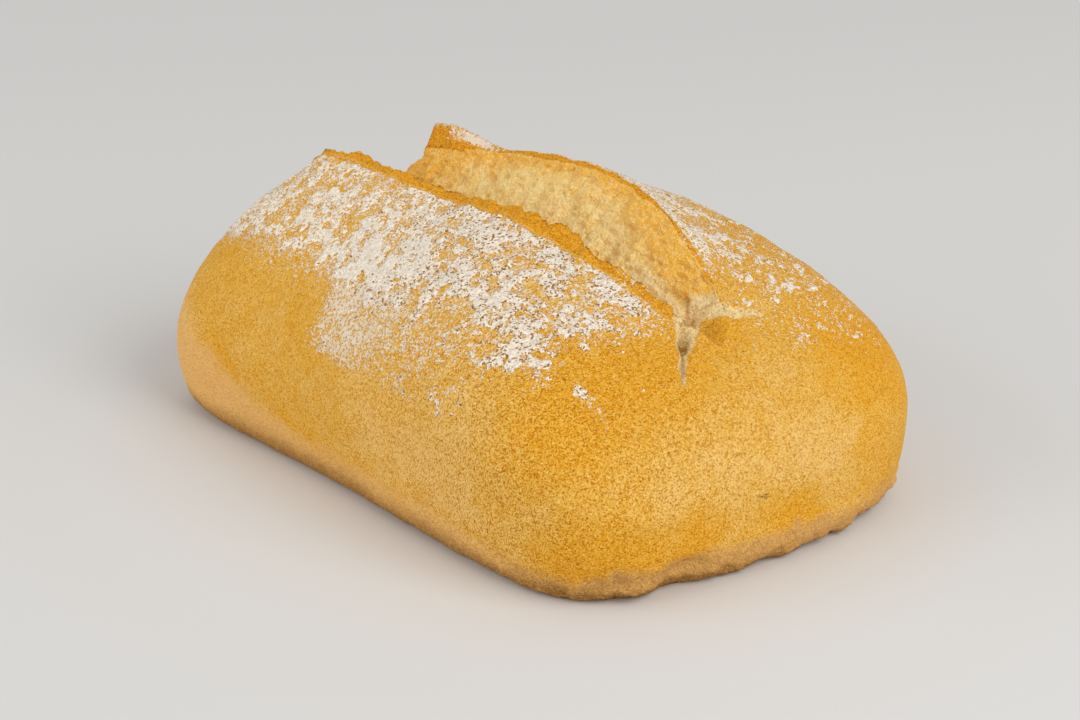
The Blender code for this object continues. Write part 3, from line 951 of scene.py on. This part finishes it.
def rim_line(points):
    """Height of the floury rim's upper edge round the roll: low at the front corner and climbing
    as the 1.5th power of the distance towards the back."""
    x, y, _ = np.moveaxis(points, -1, 0)
    height = 0.0095 - 0.0015 * ease(0.030, 0.045, x)
    height = height - 0.0022 * bell(x, 0.062, 0.010) * bell(y, -0.047, 0.008)
    height = height + 0.011 * np.clip((-0.016 - x) / 0.037, 0, 1.4) ** 1.5
    waver = waves(points, 35, (0.8, 0.009), (0.6, 0.0032))
    return height + (0.0007 + 0.0006 * ease(0.04, 0.06, x)) * waver


def browning(points):
    """How deeply the crust is baked, 0 pale to 1 deep orange, from broad spots and along the
    rim's upper edge."""
    over = points[..., 2] - rim_line(points)
    patches = ease(0.05, 0.55, noise(points, 0.010, 37))
    patches = patches * (1 - 0.7 * bell(points[..., 0], 0.015, 0.03))
    return 0.5 + 0.65 * bell(over, 0.0008, 0.0014) * patches + spots(points, BROWNED_SPOTS)


def shade_low(points):
    """How much painted shade darkens the rim: 1 at the floor, more on the front end and most at its
    near corner.
    """
    x, y, z = np.moveaxis(points, -1, 0)
    high = 0.0085 - 0.0045 * ease(0.030, 0.060, x)
    dark = 1.15 * fall(0.0, 1.0, z / high) + 0.42 * ease(0.066, 0.072, x)
    return dark + 0.65 * bell(x, 0.060, 0.012) * bell(y, -0.046, 0.010)


def grainy(points):
    """How strongly the crust is speckled: most on the near side of the front half."""
    return 0.72 + spots(points, [(0.048, -0.040, 0.026, 0.036, 0.55)])


def loose_zone(points):
    """1 low on the back half of the near side, where flour lies as single grains; noise makes the
    zone's ends stray."""
    x = points[..., 0] + waves(points, 42, (0.006, 0.009), (0.003, 0.003))
    return ease(0.035, 0.042, -points[..., 1]) * fall(0.012, 0.030, x) * ease(-0.042, -0.018, x)


def zone_shares(crowded, count):
    """count shares from 0 up to 1, leaving 1 out; crowded holds the density at 0, middle and 1."""
    even = np.linspace(0, 1, 513)
    density = np.interp(even, np.linspace(0, 1, len(crowded)), crowded)
    run = np.concatenate([[0], np.cumsum((density[1:] + density[:-1]) / 2)])
    return np.interp(np.arange(count) / count * run[-1], run, even)[None]


def sheet_sections(form, sheet):
    """The sections that a sheet covers, and the places of its points across as shares."""
    start, end = sheet.share
    share = start + (end - start) * zone_shares(sheet.crowded, sheet.points)
    return Sections(form, np.linspace(*sheet.x, sheet.stations) / (form.length / 2)), share


def crust_rings(form, crust):
    """The crust's rings and their marks: the plain form moved along its normals by its relief,
    sunk under the crumb in the score and raised along the torn edge."""
    sections = Sections(form, stations(STATIONS))
    score = zone_shares((5.0, 4.0, 1.0, 0.7, 0.7, 1.5, 4.0), SCORE_POINTS)
    zones = [
        sections.near_crust(zone_shares((1.0, 1.0, 1.5), NEAR_POINTS)),
        sections.score(score),
        sections.far_crust(zone_shares((1.6, 1.0, 1.0), FAR_POINTS)),
        sections.foot(zone_shares((1.0, 1.0, 1.3), SIDE_POINTS), 1),
        sections.underside(zone_shares((2.0, 1.0, 1.0, 2.0), FOOT_POINTS)),
        sections.foot(1 - zone_shares((1.3, 1.0, 1.0), SIDE_POINTS), -1),
    ]
    points = np.concatenate([sections.place(zone) for zone in zones], axis=1)
    plain_y = np.concatenate([np.broadcast_arrays(*zone)[1] for zone in zones], axis=1)
    out = normals(points, closed=True)
    out[0], out[-1] = (-1, 0, 0), (1, 0, 0)
    out[..., 2] *= ease(0.0, 0.004, points[..., 2])
    height = relief(points, crust)
    height[:, SCORE_PART] -= CRUST_SUNK * ease(0.75, 1, window(sections, score))
    height[:, UNDER_PART] = 0
    rings = points + unit(out) * height[..., None]

    line = sections.torn_line(score)
    grit = 0.0005 * rough(points[:, SCORE_PART], 0.0024, 33, 3, 0.75)
    grit = grit * ease(0.1, 0.4, line) * fall(0.9, 1.3, line)
    rings[:, SCORE_PART, 2] += sections.torn_edge(score) + grit
    rings[..., 2] = np.maximum(rings[..., 2], 0)
    return rings, crust_marks(sections, points, sections.past_lips(plain_y), score)


def crust_marks(sections, points, past, score):
    """What the crust's finish needs to know at each point. Torn are the score and a line past its
    low lip, but not the floury brow in front of the horn's end or the score's two ends."""
    x, _, z = np.moveaxis(points, -1, 0)
    station_x = sections.x
    between_ends = fall(0.044, 0.049, station_x) * ease(-0.0732, -0.0706, station_x)
    brow = fall(0.0008, 0.0018, sections.spread * (1 - score)) * bell(station_x, -0.0355, 0.0070)
    brow = brow * ease(-0.0440, -0.0405, station_x)
    torn = np.zeros(past.shape)
    torn[:, SCORE_PART] = ease(0.0, 0.0003, sections.spread * score) * between_ends * (1 - brow)
    torn[:, SCORE_PART] *= 1 - ease(0.45, 0.95, score) * ease(0.040, 0.046, station_x)
    torn[:, :NEAR_POINTS] = fall(0.0003, 0.0010, past[:, :NEAR_POINTS]) * between_ends

    middle, way, tear = crack(points)
    opened = np.maximum(np.clip(middle * 2.2, 0, 1), np.clip(tear * 2.5, 0, 1))
    deepest = np.maximum(1.3 * bell(way, 0.50, 0.16), 0.55 * ease(0.5, 0.7, way))
    dusted = dusting(points, past)
    dusted += 0.80 * loose_zone(points) * ease(-0.15, 0.70, dusted)
    dusted[:, SCORE_PART] = np.maximum(2.9 * brow, 0.7 * bell(station_x, 0.036, 0.006)) - 0.5
    rim_width = 0.0075 - 0.0035 * ease(0.04, 0.065, x)
    return {
        "browning": browning(points),
        "grainy": grainy(points),
        "torn": torn,
        "rim": np.clip((rim_line(points) - z) / rim_width, -1, 1),
        # Painted shade low on the rim
        "shade": shade_low(points),
        "opened": opened,
        # Painted shade deep in the crack
        "deep": ease(0.30, 0.75, middle) * deepest,
        "dusted": np.clip(dusted - 2.6 * opened, -0.5, 2.4),
    }


class MESH_OT_ciabatta_crust(bpy.types.Operator):
    """Build the crust of the roll"""

    bl_idname = "mesh.ciabatta_crust"
    bl_label = "Crust"
    bl_options = {"REGISTER", "UNDO"}

    def execute(self, context):
        scene = context.scene
        rings, marks = crust_rings(scene.roll_form, scene.roll_crust)
        finish = crust_finish(scene.roll_crust, scene.roll_crumb, scene.roll_flour)
        piece = put_mesh("crust", *close_rings(rings, TOP_POINTS // 2), marks, finish)
        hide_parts("loaf")
        return {"FINISHED"}


def crumb_sheet(form, crust, crumb):
    """The crumb's top and its marks: the score's own surface with pores, swellings and a cleft,
    sunk under the crust where it doesn't show."""
    sections, share = sheet_sections(form, CRUMB_SHEET)
    x, spread = sections.x, sections.spread
    base = sections.place(sections.score(share))
    places = np.stack([base[..., 0], base[..., 1] + 1.15 * base[..., 2]], axis=-1)
    pores = pits(places * (0.8, 1.1), crumb.pore_size, 51)
    small = pits(places, crumb.pore_size * 0.42, 61)
    cleft = bell(share + along(x, 20, (0.06, 0.003)), 0.63, 0.045) * bell(x, 0.0395, 0.0050)
    height = crumb.swell * rough(base, 0.0062, 55, 3) - crumb.pore_depth * (pores + 0.35 * small)
    shown = window(sections, share)
    hidden = fall(0, 0.25, shown)
    height = (height - 0.0009 * cleft) * ease(0.3, 1, shown) + 0.0001
    height = height - hidden * (CRUMB_SUNK + 1.1 * groove(base, crust))
    sheet = base + normals(base, closed=False) * height[..., None]

    from_raised = spread * (1 - share)
    wide = 1 + 1.3 * ease(0.005, 0.035, x)
    front = ease(0.020, 0.035, x)
    toast = 1.25 * fall(0.0, 0.0052 * wide, from_raised) + 0.2 * fall(0.0, 0.012, from_raised)
    toast = toast + 0.5 * fall(-0.001, 0.0025, spread * share - sections.torn_width)
    toast = toast + 0.75 * fall(-0.048, -0.012, x)
    toast = toast + 0.9 * bell(x, -0.044, 0.007) * ease(0.50, 0.85, share)
    toast = toast + 0.6 * front * ease(0.60, 0.80, share)
    end = score_end(sections.low_y + spread * share)
    floury = np.maximum(1.1 * front * fall(0.50, 0.70, share), ease(end - 0.0055, end - 0.0015, x))
    # Painted shade in the pores and the cleft
    pore = np.maximum(pores, 0.6 * small) + 1.6 * cleft
    return sheet, {"toast": toast, "pore": pore, "floury": floury}


class MESH_OT_ciabatta_crumb(bpy.types.Operator):
    """Build the open crumb in the score"""

    bl_idname = "mesh.ciabatta_crumb"
    bl_label = "Crumb"
    bl_options = {"REGISTER", "UNDO"}

    def execute(self, context):
        scene = context.scene
        sheet, marks = crumb_sheet(scene.roll_form, scene.roll_crust, scene.roll_crumb)
        rings = slab(sheet, (0, 0, CRUMB_DEPTH), CRUMB_FLOOR_POINTS)
        pad = ((0, 0), (0, CRUMB_FLOOR_POINTS))
        marks = {name: np.pad(values, pad, mode="edge") for name, values in marks.items()}
        finish = crumb_finish(scene.roll_crumb, scene.roll_flour)
        put_mesh("crumb", *close_rings(rings), marks, finish)
        return {"FINISHED"}


def flour_layer(form, crust, flour, dust):
    """A sheet of flour on the crust: the crust's own surface plus a thickness that noise takes
    above it where flour lies and below it elsewhere. With it go how thick it lies as a share, the
    crust under it, that crust's normals and the share of it that flour hides."""
    sections, share = sheet_sections(form, dust.sheet)
    plain = getattr(sections, dust.zone)(share)
    base = sections.place(plain)
    out = normals(base, closed=False)
    under = base + out * relief(base, crust)[..., None]
    middle, _, tear = crack(base, margin=0.0008)
    torn_open = np.clip(4 * np.maximum(middle, tear), 0, 1)
    cover = dusting(base, sections.past_lips(plain[1])) + flour.cover - 1 - 2 * torn_open
    run = np.linalg.norm(np.diff(base, axis=1, prepend=base[:, :1]), axis=-1).cumsum(axis=1)
    stretch = 0.72 + 0.28 * ease(-0.030, -0.010, base[..., 0])
    places = np.stack([base[..., 0], run * stretch, 0 * run], axis=-1)
    clumps = rough(places, dust.clump, 71, 3, 0.8)
    broad = noise(places, 0.010, 75)
    pepper = rough(places, 0.0015, 81, 2, 1.0)
    pattern = clumps / clumps.std() + 0.45 * broad / broad.std() + 0.30 * pepper / pepper.std()
    pattern = pattern + 1.8 * (2 * cover - 1) - 1.1 * loose_zone(base)
    rows, columns = (np.minimum(np.arange(n), np.arange(n)[::-1]) for n in pattern.shape)
    border = ease(0, 4, rows)[:, None] * ease(0, 1.6, columns)
    depth = np.clip(pattern / 0.9, -1, 1) * border - (1 - border)
    powder = waves(base, 77, (0.4, 0.0008), (0.3, 0.0004)) * np.clip(depth, 0, 1)
    height = flour.thickness * (depth + powder - 5 * torn_open)
    solid = 0.50 + 0.45 * bell(base[..., 0], -0.016, 0.012) * bell(base[..., 1], -0.033, 0.008)
    thick = np.clip(pattern / 1.1, -1, solid) * border
    return Layer(under + out * height[..., None], thick, under, out, cover)


def flour_grains(layer, flour, dust):
    """Loose grains round a sheet of flour: squat four-sided solids of random width and turn, most
    of them near where the sheet lies thin. Returns points and faces."""
    under = layer.under
    random = np.random.default_rng(dust.seed)
    tries = int(flour.grains * dust.grains * 12)
    row = random.integers(0, under.shape[0] - 1, tries)
    column = random.integers(0, under.shape[1] - 1, tries)
    thick = layer.thick[row, column]
    likely = bell(layer.cover[row, column], 0.20, 0.32) * (thick < 0.1)
    likely = likely * (1 - 0.7 * ease(0.0, 0.02, under[row, column, 0]))
    likely = likely * (0.12 + 0.88 * ease(-1.0, -0.1, thick))
    kept = np.flatnonzero(random.random(tries) < likely)[: int(flour.grains * dust.grains)]
    row, column = row[kept], column[kept]
    across, down = random.random((2, len(kept), 1))
    first = under[row, column] * (1 - across) + under[row + 1, column] * across
    second = under[row, column + 1] * (1 - across) + under[row + 1, column + 1] * across
    centre = first * (1 - down) + second * down
    normal = layer.out[row, column]
    side = unit(np.cross(normal, random.normal(size=normal.shape)))
    other = np.cross(normal, side)
    size = flour.grain_size * (0.55 + 0.9 * random.random((len(kept), 1)) ** 2)
    corners = [centre + normal * size * 0.55]
    for angle in (0, 2 * np.pi / 3, 4 * np.pi / 3):
        spoke = side * np.cos(angle) + other * np.sin(angle)
        corners.append(centre + (0.62 * spoke - 0.25 * normal) * size)
    points = np.stack(corners, axis=1).reshape(-1, 3)
    faces = np.array([(0, 1, 2), (0, 2, 3), (0, 3, 1), (1, 3, 2)])
    return points, (np.arange(len(kept))[:, None, None] * 4 + faces).reshape(-1, 3)


def flour_parts(form, crust, flour):
    """The flour's sheets and then its loose grains: points, faces, bake map and how thick it lies.
    The sheets share the left of the map, and the grains have two narrow columns at its right."""
    layers = [flour_layer(form, crust, flour, dust) for dust in FLOURED]
    for index, layer in enumerate(layers):
        rings = slab(layer.top, layer.out * FLOUR_DEPTH, FLOUR_FLOOR_POINTS)
        points, faces, corner_uv = close_rings(rings)
        thick = np.pad(layer.thick, ((0, 0), (0, FLOUR_FLOOR_POINTS))).ravel()
        yield points, faces, corner_uv * (0.46, 1.0) + (0.46 * index, 0.0), thick
    for index, (layer, dust) in enumerate(zip(layers, FLOURED)):
        points, faces = flour_grains(layer, flour, dust)
        cell = np.arange(len(faces))[:, None, None] * (0.0, 0.98 / len(faces))
        corner = np.array([(0.0, 0.0), (0.018, 0.0), (0.0, 0.0001)])
        corner_uv = (cell + corner + (0.93 + 0.03 * index, 0.005)).reshape(-1, 2)
        yield points, faces.tolist(), corner_uv, np.ones(len(points))


class MESH_OT_ciabatta_flour(bpy.types.Operator):
    """Dust the top of the roll with flour"""

    bl_idname = "mesh.ciabatta_flour"
    bl_label = "Flour"
    bl_options = {"REGISTER", "UNDO"}

    def execute(self, context):
        scene = context.scene
        form, crust, flour = scene.roll_form, scene.roll_crust, scene.roll_flour
        points, faces, maps, thick = [], [], [], []
        first = 0
        for part_points, part_faces, part_map, part_thick in flour_parts(form, crust, flour):
            points.append(part_points)
            faces.extend([corner + first for corner in face] for face in part_faces)
            maps.append(part_map)
            thick.append(part_thick)
            first += len(part_points)
        points, maps, thick = (np.concatenate(rows) for rows in (points, maps, thick))
        put_mesh("flour", points, faces, maps, {"thick": thick}, flour_finish(flour, crust))
        return {"FINISHED"}


def soft_light(name, place, size, power):
    """A square area light at a place, turned to the middle of the roll."""
    light = bpy.data.lights.new(name, "AREA")
    light.shape = "SQUARE"
    light.size = size
    light.energy = power
    lamp = bpy.data.objects.new(name, light)
    lamp.location = place
    lamp.rotation_mode = "QUATERNION"
    lamp.rotation_quaternion = (Vector(place) - Vector(MIDDLE)).to_track_quat("Z", "Y")
    bpy.context.scene.collection.objects.link(lamp)


class SCENE_OT_ciabatta_stage(bpy.types.Operator):
    """Set the floor, the light and the camera"""

    bl_idname = "scene.ciabatta_stage"
    bl_label = "Stage"
    bl_options = {"REGISTER", "UNDO"}

    def execute(self, context):
        scene = context.scene
        stage = scene.roll_stage
        size = FLOOR_SIZE / 2
        corners = [(-size, -size, 0), (size, -size, 0), (size, size, 0), (-size, size, 0)]
        mesh = bpy.data.meshes.new("floor")
        mesh.from_pydata(corners, [], [(0, 1, 2, 3)])
        mesh.materials.append(Finish("plain_floor").set(base_color=stage.floor, roughness=0.9))
        floor = bpy.data.objects.new("floor", mesh)
        scene.collection.objects.link(floor)

        soft_light("key", KEY_PLACE, 0.9, stage.key)
        soft_light("fill", FILL_PLACE, 1.0, stage.fill)
        world = bpy.data.worlds.new("even_sky")
        world.use_nodes = True
        sky = world.node_tree.nodes["Background"]
        sky.inputs["Color"].default_value = (1.0, 1.0, 1.0, 1.0)
        sky.inputs["Strength"].default_value = stage.sky
        scene.world = world
        scene.view_settings.view_transform = "Standard"

        azimuth, elevation = np.radians(AZIMUTH), np.radians(ELEVATION)
        level = np.cos(elevation)
        back = Vector((np.sin(azimuth) * level, -np.cos(azimuth) * level, np.sin(elevation)))
        lens = bpy.data.cameras.new("camera")
        lens.lens = stage.lens
        lens.sensor_width = 36.0
        lens.clip_start, lens.clip_end = 0.01, 50.0
        camera = bpy.data.objects.new("camera", lens)
        camera.location = Vector(LOOKED_AT) + back * stage.distance
        camera.rotation_mode = "QUATERNION"
        camera.rotation_quaternion = back.to_track_quat("Z", "Y")
        scene.collection.objects.link(camera)
        scene.camera = camera
        return {"FINISHED"}


class VIEW3D_PT_ciabatta(bpy.types.Panel):
    """The roll's pieces and their settings"""

    bl_label = "Ciabatta roll"
    bl_space_type = "VIEW_3D"
    bl_region_type = "UI"
    bl_category = "Ciabatta"

    def draw(self, context):
        scene = context.scene
        for operator, groups in BUTTONS:
            box = self.layout.box()
            for group in groups:
                settings = getattr(scene, group)
                for name in settings.bl_rna.properties.keys():
                    if name not in ("rna_type", "name"):
                        box.prop(settings, name, text=name.replace("_", " ").capitalize())
            box.operator(operator)


BUTTONS = (
    ("mesh.ciabatta_crust", ("roll_form", "roll_crust")),
    ("mesh.ciabatta_crumb", ("roll_crumb",)),
    ("mesh.ciabatta_flour", ("roll_flour",)),
    ("scene.ciabatta_stage", ("roll_stage",)),
)
GROUPS = {
    "roll_form": RollForm,
    "roll_crust": CrustFinish,
    "roll_crumb": CrumbFinish,
    "roll_flour": FlourFinish,
    "roll_stage": StageSet,
}
CLASSES = (
    *GROUPS.values(),
    MESH_OT_ciabatta_crust,
    MESH_OT_ciabatta_crumb,
    MESH_OT_ciabatta_flour,
    SCENE_OT_ciabatta_stage,
    VIEW3D_PT_ciabatta,
)


def register():
    for made in CLASSES:
        bpy.utils.register_class(made)
    for name, group in GROUPS.items():
        setattr(bpy.types.Scene, name, PointerProperty(type=group))


def unregister():
    for name in GROUPS:
        delattr(bpy.types.Scene, name)
    for made in reversed(CLASSES):
        bpy.utils.unregister_class(made)


def main():
    register()
    bpy.ops.mesh.ciabatta_crust()
    bpy.ops.mesh.ciabatta_crumb()
    bpy.ops.mesh.ciabatta_flour()
    bpy.ops.scene.ciabatta_stage()


if __name__ == "__main__":
    main()
